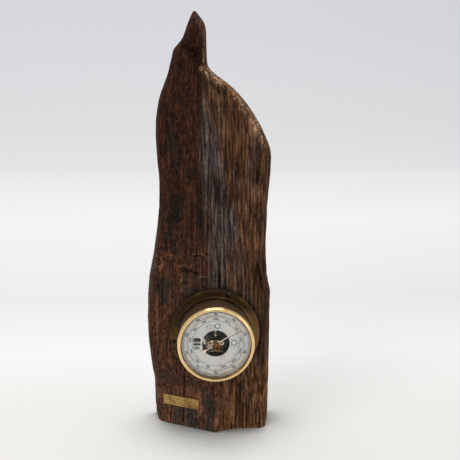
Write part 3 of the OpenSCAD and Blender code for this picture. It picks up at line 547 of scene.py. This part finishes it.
def patina(name, clean, dull, rough, spread=60.0, lean=None, turning=0.0):
    """Brass or steel that has dulled in blotches. A lean makes one side darker and rougher, turning leaves
    rings.
    """
    made, tree, shader = finish_named(name, Metallic=1.0)
    blotch = grown(tree, spread, 6)
    if lean:
        side = put(tree, "ShaderNodeVectorMath", operation="DOT_PRODUCT")
        tree.links.new(put(tree, "ShaderNodeTexCoord").outputs["Object"], side.inputs[0])
        side.inputs[1].default_value = lean
        blotch = sums(tree, "ADD", blotch, sums(tree, "SUBTRACT", side.outputs["Value"], lean[2] * AXIS_Z))
    if turning:
        rings = put(tree, "ShaderNodeTexNoise", noise_dimensions="1D", Scale=1700, Detail=3)
        tree.links.new(from_axis(tree), rings.inputs["W"])
        marks = sums(tree, "MULTIPLY", sums(tree, "SUBTRACT", rings.outputs[0], 0.5), turning)
        blotch = sums(tree, "ADD", blotch, marks)
    tree.links.new(ramp(tree, blotch, [(0.38, dull), (0.62, clean)]), shader.inputs["Base Color"])
    tree.links.new(ramp(tree, blotch, [(0.35, rough * 1.5), (0.65, rough)]), shader.inputs["Roughness"])
    return made


def eased(node, material, body, width, segments=2):
    """Stands for a CAD node: the same form with its sharp edges eased by a small round."""
    bpy.ops.object.select_all(action="DESELECT")
    source = frame["nodes"][node]
    source.select_set(True)
    bpy.context.view_layer.objects.active = source
    bpy.ops.object.duplicate()
    piece = bpy.context.active_object
    piece.name = node + "_eased"
    bpy.ops.object.parent_clear(type="CLEAR_KEEP_TRANSFORM")
    bpy.ops.object.mode_set(mode="EDIT")
    bpy.ops.mesh.select_all(action="SELECT")
    bpy.ops.mesh.remove_doubles(threshold=0.000005)
    bpy.ops.mesh.dissolve_limited(angle_limit=math.radians(0.5))
    bpy.ops.object.mode_set(mode="OBJECT")
    rounds = piece.modifiers.new("eased_edges", "BEVEL")
    rounds.width = width
    rounds.segments = segments
    rounds.limit_method = "ANGLE"
    rounds.angle_limit = math.radians(40)
    rounds.use_clamp_overlap = True
    bpy.ops.object.modifier_apply(modifier=rounds.name)
    bpy.ops.object.shade_smooth_by_angle(angle=math.radians(35))
    piece.data.materials.clear()
    piece.data.materials.append(material)
    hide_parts(node)
    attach(piece, body)
    bpy.ops.object.select_all(action="DESELECT")
    return piece


# The left face is turned most at the foot, and a little less where the plaque sits.
FOOT_TURN, TURN_AT_PLAQUE = 31, 0.987
PLAQUE_TURN = math.radians(FOOT_TURN * TURN_AT_PLAQUE)
plaque_brass = patina("plaque_brass", (0.50, 0.32, 0.105), (0.31, 0.18, 0.052), 0.34, 90)
plaque = eased("plaque", plaque_brass, "stand", 0.1 * MM)
corners = [v.co.copy() for v in plaque.data.vertices]
middle = sum(corners, Vector()) / len(corners)
right_way = Vector((math.cos(PLAQUE_TURN), -math.sin(PLAQUE_TURN), 0))
out_way = Vector((-math.sin(PLAQUE_TURN), -math.cos(PLAQUE_TURN), 0))
plaque_l = 2 * max((c - middle).dot(right_way) for c in corners)
plaque_h = 2 * max(c.z - middle.z for c in corners)
plaque_front = max((c - middle).dot(out_way) for c in corners)
NICK_R = 1.3 * MM
for share in (0.27, 0.715):
    spot = middle + right_way * plaque_l * (share - 0.5) - Vector((0, 0, plaque_h / 2))
    bpy.ops.mesh.primitive_cylinder_add(vertices=20, radius=NICK_R, depth=6 * MM, location=spot,
                                        rotation=(math.pi / 2, 0, -PLAQUE_TURN))
    cut_out(plaque)
BORDER, THIN_LINE, RULE, LINE_T = 1.1 * MM, 0.28 * MM, 0.75 * MM, 0.04 * MM
scribed = []
for wide, tall, across, up in ((plaque_l - 2 * BORDER, THIN_LINE, 0, plaque_h / 2 - BORDER),
                               (plaque_l - 2 * BORDER, THIN_LINE, 0, BORDER - plaque_h / 2),
                               (THIN_LINE, plaque_h - 2 * BORDER, plaque_l / 2 - BORDER, 0),
                               (THIN_LINE, plaque_h - 2 * BORDER, BORDER - plaque_l / 2, 0),
                               (plaque_l * 0.86, RULE, 0, plaque_h * 0.19),
                               (plaque_l * 0.86, RULE, 0, -plaque_h * 0.02),
                               (plaque_l * 0.62, RULE, 0, -plaque_h * 0.23)):
    bpy.ops.mesh.primitive_cube_add(size=1, location=(0, 0, 0), scale=(wide, LINE_T, tall))
    line = bpy.context.active_object
    line.location = middle + right_way * across + out_way * plaque_front + Vector((0, 0, up))
    line.rotation_euler = (0, 0, -PLAQUE_TURN)
    bpy.ops.object.transform_apply(location=True, rotation=True, scale=True)
    scribed.append(line)
for line in scribed:
    line.select_set(True)
bpy.ops.object.join()
rules = bpy.context.active_object
rules.name = "plaque_rules"
blackened, tree, shader = finish_named("scribed_black", Roughness=0.7)
black_brown = ramp(tree, grown(tree, 700, 4), [(0.35, (0.035, 0.020, 0.009)), (0.65, (0.11, 0.062, 0.024))])
tree.links.new(black_brown, shader.inputs["Base Color"])
rules.data.materials.clear()
rules.data.materials.append(blackened)
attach(rules, "stand")
bpy.ops.object.select_all(action="DESELECT")


# The case: a brass drum with a turned flange and collar soldered on, all under a brown patina. The
# flange is darkest at its upper left, and the drum's dull streaks run round it. Three round-head screws,
# nearly black, hold the flange to the planed seat.

flange_patina = patina("flange_patina", (0.15, 0.086, 0.032), (0.050, 0.032, 0.016), 0.26, 50,
                       (1.8, 0, -2.4), 0.3)
drum_patina = patina("drum_patina", (0.70, 0.49, 0.32), (0.17, 0.105, 0.065), 0.30, (14, 330, 14))


def turned(name, profile, steps=300, sharp=35):
    """A ring turned to a profile: radius, then depth in front of the seat, both in millimetres."""
    bpy.ops.mesh.primitive_circle_add(vertices=len(profile), radius=1, fill_type="NOTHING")
    piece = bpy.context.active_object
    piece.name = name
    for vertex, (r, out) in zip(piece.data.vertices, profile):
        vertex.co = (r * MM, 0, out * MM)
    bpy.ops.object.mode_set(mode="EDIT")
    bpy.ops.mesh.select_all(action="SELECT")
    bpy.ops.mesh.spin(steps=steps, angle=math.tau, center=(0, 0, 0), axis=(0, 0, 1))
    bpy.ops.mesh.select_all(action="SELECT")
    bpy.ops.mesh.remove_doubles(threshold=0.000002)
    bpy.ops.mesh.normals_make_consistent(inside=False)
    bpy.ops.object.mode_set(mode="OBJECT")
    piece.location = (0, SEAT_Y, AXIS_Z)
    piece.rotation_euler = (math.pi / 2, 0, 0)
    bpy.ops.object.transform_apply(location=True, rotation=True, scale=True)
    bpy.ops.object.shade_smooth_by_angle(angle=math.radians(sharp))
    return piece


def arc(mid_r, mid_out, r, start, stop, steps):
    """Points of a round in a profile, between two angles from straight outwards."""
    return [(mid_r + r * math.cos(math.radians(a)), mid_out + r * math.sin(math.radians(a)))
            for a in np.linspace(start, stop, steps)]


def dressed(piece, material, slot, body, *nodes):
    """Gives a piece its finish and its body, and lets it stand for its CAD nodes."""
    piece.data.materials.clear()
    piece.data.materials.append(material)
    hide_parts(*nodes)
    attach(piece, body)
    bpy.ops.object.select_all(action="DESELECT")


dressed(turned("flange_and_collar", [(51.05, 0.0), (64.3, 0.0), (64.5, 0.2)] + arc(62.5, 1.0, 2.0, 0, 90, 9)
               + [(62.2, 3.0), (55.1, 3.0)] + arc(54.8, 5.5, 2.5, 270, 180, 9)
               + [(52.3, 5.8), (52.3, 11.5), (52.15, 11.85), (51.9, 12.0), (51.2, 12.0), (51.05, 11.85)]),
        flange_patina, "case_brass", "stand", "flange")
eased("case_drum", drum_patina, "stand", 0.1 * MM)
screw_black = patina("black_screws", (0.07, 0.055, 0.04), (0.02, 0.017, 0.014), 0.22, 300)
eased("flange_screws", screw_black, "stand", 0.12 * MM)


# The bezel: a ring spun from sheet brass, polished and lacquered, pushed over the front of the drum.
# Towards the glass its inner wall is painted darker, a painted shade.

SIGHT_R = 47.7
SHADE_FROM, SHADE_TO = 47.0 * MM, 52.0 * MM
LACQUER = {"Coat Weight": 1.0, "Coat Roughness": 0.04, "Coat IOR": 1.7}
rim = (arc(49.6, 55.0, 4.0, 0, 78, 14) + arc(50.0, 58.3, 0.7, 80, 160, 6)
       + [(48.4, 56.0), (SIGHT_R, 55.6), (SIGHT_R, 55.05), (49.8, 55.05), (49.8, 51.1), (51.05, 51.1)]
       + [(51.05, 46.0), (52.2, 46.0), (52.4, 46.2), (52.4, 50.6)] + arc(52.4, 52.0, 1.2, -60, 60, 8)
       + [(53.1, 53.3)])
bezel = turned("bezel_turned", rim)
bright_brass = patina("lacquered_brass", (0.93, 0.64, 0.27), (0.84, 0.53, 0.19), 0.15, 35)
tree = bright_brass.node_tree
shader = tree.nodes["Principled BSDF"]
for socket, value in LACQUER.items():
    shader.inputs[socket].default_value = value
open_brass = shader.inputs["Base Color"].links[0].from_socket
# Painted shade: the brass darkens towards the glass.
reach = put(tree, "ShaderNodeMapRange", From_Min=SHADE_FROM, From_Max=SHADE_TO)
tree.links.new(from_axis(tree), reach.inputs["Value"])
inner_shade = ramp(tree, reach.outputs[0], [(0.24, (0.13, 0.08, 0.04)), (0.42, (0.32, 0.22, 0.14)),
                                           (0.54, (1.0, 1.0, 1.0))])
tree.links.new(blend(tree, 1.0, open_brass, inner_shade, "MULTIPLY"), shader.inputs["Base Color"])
dressed(bezel, bright_brass, "bezel_brass", "stand", "bezel")


# The rings behind the glass: a split ring of the bezel's brass that springs out and holds the glass,
# its gap at the bottom, and a plain brass spacer that keeps the dial back from it.

eased("glass_ring", bright_brass, "stand", 0.2 * MM)
spacer_brass = patina("spacer_brass", (0.50, 0.33, 0.14), (0.30, 0.19, 0.08), 0.25)
eased("dial_ring", spacer_brass, "stand", 0.1 * MM)


# The glass: a flat disc of clear window glass, with one hole in its middle for the stem of the knob.
# It mirrors the room a little less than plain glass does, so that the dial reads through it.

def coat(node, material):
    """Gives a CAD node its finish."""
    item = frame["nodes"][node]
    item.data.materials.clear()
    item.data.materials.append(material)


clear, tree, shader = finish_named("clear_glass", Base_Color=(1, 1, 1, 1), Roughness=0.0, IOR=1.2)
shader.inputs["Transmission Weight"].default_value = 1.0
coat("glass", clear)


# The dial: silvered brass with two scales, in millimetres and hectopascals, and three weather signs:
# rain on the left, sun with cloud at the top and sun on the right. The marks are printed in black, and
# stand a few hundredths of a millimetre proud.

DIAL_OUT = 48
INK = 0.03 * MM
NUMBER_SIZE = 4.1
silver, tree, shader = finish_named("silvered_dial", Metallic=0.5)
tree.links.new(ramp(tree, grown(tree, 70, 6), [(0.35, (0.63, 0.625, 0.58)), (0.65, (0.74, 0.735, 0.685))]),
               shader.inputs["Base Color"])
tree.links.new(ramp(tree, grown(tree, 900, 3), [(0.3, 0.40), (0.7, 0.55)]), shader.inputs["Roughness"])
coat("dial", silver)
printed = []


def inked(angle=0.0, r=0.0, turn=None):
    """Places the piece in hand on the dial: an angle clockwise from the top, a radius in millimetres."""
    piece = bpy.context.active_object
    a = math.radians(angle)
    piece.location = (r * MM * math.sin(a), r * MM * math.cos(a), 0)
    piece.rotation_euler = (0, 0, -a if turn is None else math.radians(turn))
    bpy.ops.object.transform_apply(location=True, rotation=True, scale=True)
    printed.append(piece)
    return piece


def bar(width, length, angle=0.0, r=0.0, turn=None):
    """A straight mark, upright until it is turned."""
    bpy.ops.mesh.primitive_cube_add(size=1, location=(0, 0, 0), scale=(width * MM, length * MM, INK))
    return inked(angle, r, turn)


def fan(width, inner, outer, step, first=0.0, total=360.0):
    """One tick, then its copies all round the dial."""
    bar(width, outer - inner, first, (inner + outer) / 2)
    copies = round(total / step) - (1 if total == 360.0 else 0)
    bpy.ops.object.mode_set(mode="EDIT")
    bpy.ops.mesh.select_all(action="SELECT")
    bpy.ops.mesh.spin(steps=copies, dupli=True, angle=-math.radians(step * copies), center=(0, 0, 0),
                      axis=(0, 0, 1))
    bpy.ops.object.mode_set(mode="OBJECT")


def shape(points):
    """A flat sign with this outline, in millimetres."""
    bpy.ops.mesh.primitive_circle_add(vertices=len(points), radius=1, fill_type="NGON")
    piece = bpy.context.active_object
    for vertex, (px, py) in zip(piece.data.vertices, points):
        vertex.co = (px * MM, py * MM, -INK / 2)
    bpy.ops.object.mode_set(mode="EDIT")
    bpy.ops.mesh.select_all(action="SELECT")
    bpy.ops.mesh.extrude_region_move(TRANSFORM_OT_translate={"value": (0, 0, INK)})
    bpy.ops.mesh.select_all(action="SELECT")
    bpy.ops.mesh.normals_make_consistent(inside=False)
    bpy.ops.object.mode_set(mode="OBJECT")
    printed.append(piece)
    return piece


def loop_line(points, width):
    """A line of this width along a closed outline, drawn as a flat band."""
    inner = []
    for px, py in points:
        share = 1 - width / max(math.hypot(px, py), 0.1)
        inner.append((px * share, py * share))
    bpy.ops.mesh.primitive_circle_add(vertices=len(points), radius=1, fill_type="NOTHING")
    piece = bpy.context.active_object
    for vertex, (px, py) in zip(piece.data.vertices, points):
        vertex.co = (px * MM, py * MM, -INK / 2)
    bpy.ops.object.mode_set(mode="EDIT")
    bpy.ops.mesh.select_all(action="SELECT")
    bpy.ops.mesh.extrude_edges_move()
    bpy.ops.object.mode_set(mode="OBJECT")
    half = len(points)
    for k, (px, py) in enumerate(inner):
        piece.data.vertices[half + k].co = (px * MM, py * MM, -INK / 2)
    bpy.ops.object.mode_set(mode="EDIT")
    bpy.ops.mesh.select_all(action="SELECT")
    bpy.ops.mesh.extrude_region_move(TRANSFORM_OT_translate={"value": (0, 0, INK)})
    bpy.ops.mesh.select_all(action="SELECT")
    bpy.ops.mesh.normals_make_consistent(inside=False)
    bpy.ops.object.mode_set(mode="OBJECT")
    printed.append(piece)
    return piece


def moved(piece, dx, dy):
    """Shifts a mark from the dial's middle, so many millimetres to the right and up."""
    piece.location = (dx * MM, dy * MM, 0)
    bpy.ops.object.transform_apply(location=True, rotation=True, scale=True)


def round_points(r, count):
    """Points on a circle, clockwise from the top."""
    return [(r * math.sin(math.tau * k / count), r * math.cos(math.tau * k / count)) for k in range(count)]


def number(value, angle, r, size):
    """A plain number that stands upright towards the dial's rim."""
    bpy.ops.object.text_add(location=(0, 0, 0))
    words = bpy.context.active_object
    words.data.body = str(value)
    words.data.align_x = "CENTER"
    words.data.align_y = "CENTER"
    words.data.size = size * MM
    words.data.extrude = INK / 2
    words.data.resolution_u = 3
    words.data.offset = 0.14 * MM
    bpy.ops.object.convert(target="MESH")
    inked(angle, r)


# The outer scale counts millimetres and goes all the way round, the inner one hectopascals over 60 to
# each side of the top.
DEGREES_PER_MM = 3.6
MM_PER_HPA = 0.75006
DEGREES_PER_HPA = DEGREES_PER_MM * MM_PER_HPA
fan(0.48, 44.9, 46.9, DEGREES_PER_MM / 2)
fan(0.75, 43.8, 46.9, DEGREES_PER_MM * 5)
for k in range(10):
    number(750 + 10 * (k - 5), DEGREES_PER_MM * 10 * (k - 5), 42.0, NUMBER_SIZE)
loop_line(round_points(39.7, 144), 0.45)
fan(0.66, 38.2, 39.7, DEGREES_PER_HPA * 2, -DEGREES_PER_HPA * 60, DEGREES_PER_HPA * 120)
fan(0.62, 37.8, 39.9, DEGREES_PER_HPA * 10, -DEGREES_PER_HPA * 60, DEGREES_PER_HPA * 120)
for k in range(-6, 7):
    number(1000 + 10 * k, DEGREES_PER_HPA * 10 * k, 35.5, NUMBER_SIZE)
loop_line(round_points(32.9, 144), 0.50)
fan(0.5, 33.0, 34.4, DEGREES_PER_HPA * 10, -DEGREES_PER_HPA * 60, DEGREES_PER_HPA * 120)


LOBE = 0.13


def cloud(wide, tall, lobes=4, count=60):
    """A cloud's outline, with lobes above and flat below."""
    points = []
    for k in range(count):
        a = math.tau * k / count
        bump = 1 + LOBE * abs(math.sin(lobes * a / 2 + 0.5)) if 0 < a < math.pi else 1.0
        points.append((wide / 2 * bump * math.cos(a), max(tall / 2 * bump * math.sin(a), -tall * 0.3)))
    return points


def sun(dx, dy, r, rays, length, rays_r):
    """A sun's ring, with short rays round it."""
    moved(loop_line(round_points(r, 40), 1.0), dx, dy)
    for k in range(rays):
        moved(bar(0.3, length, 360 / rays * k, rays_r), dx, dy)


RAIN_X, DROPS = -26.2, 9
moved(shape(cloud(10.4, 6.8)), RAIN_X, 5.0)
moved(bar(9.6, 0.9), RAIN_X, 1.4)
moved(shape(cloud(10.2, 3.4)), RAIN_X, -1.2)
for k in range(DROPS):
    off_middle = k - DROPS // 2
    moved(bar(0.55, 5.8 - 0.5 * abs(off_middle), 0, 0, 12), RAIN_X - 0.2 + 0.95 * off_middle, -6.0)
sun(2.6, 25.4, 3.9, 8, 2.0, 6.2)
moved(loop_line(cloud(12.0, 5.8), 0.8), -7.2, 24.0)
sun(25.6, 0.6, 4.2, 12, 2.6, 7.0)

bpy.ops.object.select_all(action="DESELECT")
for piece in printed:
    piece.select_set(True)
bpy.context.view_layer.objects.active = printed[0]
bpy.ops.object.join()
dial_print = bpy.context.active_object
dial_print.name = "dial_print"
dial_print.location = (0, SEAT_Y - DIAL_OUT * MM - INK / 2, AXIS_Z)
dial_print.rotation_euler = (math.pi / 2, 0, 0)
bpy.ops.object.transform_apply(location=True, rotation=True, scale=True)
ink, tree, shader = finish_named("black_print", Roughness=0.6)
ink_black = ramp(tree, grown(tree, 700, 3), [(0.35, (0.008, 0.008, 0.009)), (0.7, (0.030, 0.030, 0.029))])
tree.links.new(ink_black, shader.inputs["Base Color"])
dial_print.data.materials.clear()
dial_print.data.materials.append(ink)
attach(dial_print, "stand")
bpy.ops.object.select_all(action="DESELECT")


# The movement, seen through the dial's hole: blackened plates held apart by brass pillars, a brass
# bridge that carries the hand's arbor, and a polished lever. The steel parts are filed and left bright.

movement_brass = patina("movement_brass", (0.60, 0.36, 0.14), (0.36, 0.20, 0.07), 0.16, 200)
# Painted shade: the lean makes the plates darker and bluer towards the top of the dial's hole, lighter
# below.
movement_dark = patina("blackened_plate", (0.115, 0.105, 0.095), (0.016, 0.022, 0.027), 0.28, 30,
                       (0, 0, -9.0))
movement_steel = patina("bright_steel", (0.34, 0.33, 0.32), (0.20, 0.19, 0.18), 0.2, 200)
for node in ("dial_feet", "plate_pillars", "capsule", "adjusting_screw", "chain"):
    coat(node, movement_brass)
for node in ("base_plate", "shaft_posts", "bridge_screws"):
    coat(node, movement_dark)
for node in ("movement_bushes", "movement_screws", "mainspring", "post_pin", "rocking_shaft", "arbor",
             "hairspring"):
    coat(node, movement_steel)
eased("top_plate", movement_dark, "stand", 0.15 * MM)
bridge_brass = patina("bridge_brass", (0.80, 0.62, 0.38), (0.50, 0.35, 0.19), 0.16, 250)
eased("arbor_bridge", bridge_brass, "stand", 0.2 * MM)
eased("hairspring_stud", movement_brass, "stand", 0.12 * MM)
polished_lever = patina("polished_lever", (0.66, 0.59, 0.50), (0.15, 0.13, 0.11), 0.12, 420)
eased("lever", polished_lever, "lever_arm", 0.15 * MM)


# The hands: a dark one that shows the pressure, pressed on its arbor behind the glass, and a brass one,
# gone rose in colour, that the brass knob in front sets. A fibre washer lies under the knob.

coat("pressure_hand", patina("blued_hand", (0.20, 0.19, 0.19), (0.12, 0.11, 0.11), 0.2, 300))
coat("set_hand", patina("rose_hand", (0.95, 0.75, 0.64), (0.86, 0.62, 0.48), 0.15, 300))
knob_brass = patina("knob_brass", (0.25, 0.105, 0.034), (0.07, 0.030, 0.016), 0.24, 260)
eased("knob", knob_brass, "set_pointer", 0.2 * MM)
washer, tree, shader = finish_named("fibre_washer", Roughness=0.7)
tree.links.new(ramp(tree, grown(tree, 900, 4), [(0.35, (0.012, 0.010, 0.009)), (0.7, (0.05, 0.04, 0.034))]),
               shader.inputs["Base Color"])
coat("knob_washer", washer)
